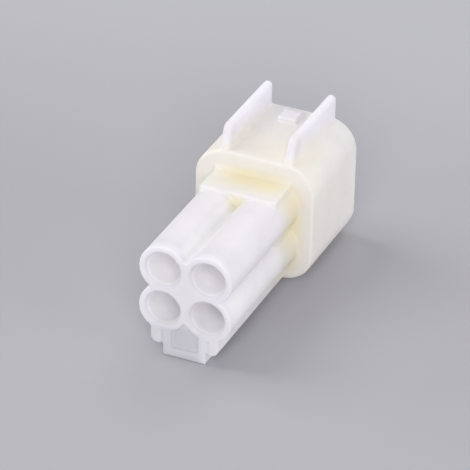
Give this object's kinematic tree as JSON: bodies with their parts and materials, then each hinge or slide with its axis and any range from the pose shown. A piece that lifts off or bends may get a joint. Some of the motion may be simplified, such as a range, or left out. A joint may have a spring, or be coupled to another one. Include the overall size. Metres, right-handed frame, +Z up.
{
  "type": "wire connector housing",
  "caption": "Hooded plug housing moulded in one piece, with round wire tubes, a square collar, two guard fins around a lock beak, and a clip channel underneath.",
  "frame": {"origin": "under the middle of the housing, level with the foot of the clip catch", "axes": "+X across the housing, +Y along the wires towards the mating mouth, +Z up through the lock side"},
  "size_m": [0.011, 0.0234, 0.0141],
  "materials": {
    "housing": "satin, slightly translucent natural plastic"
  },
  "bodies": {
    "root": {"housing": "housing"}
  },
  "joints": []
}
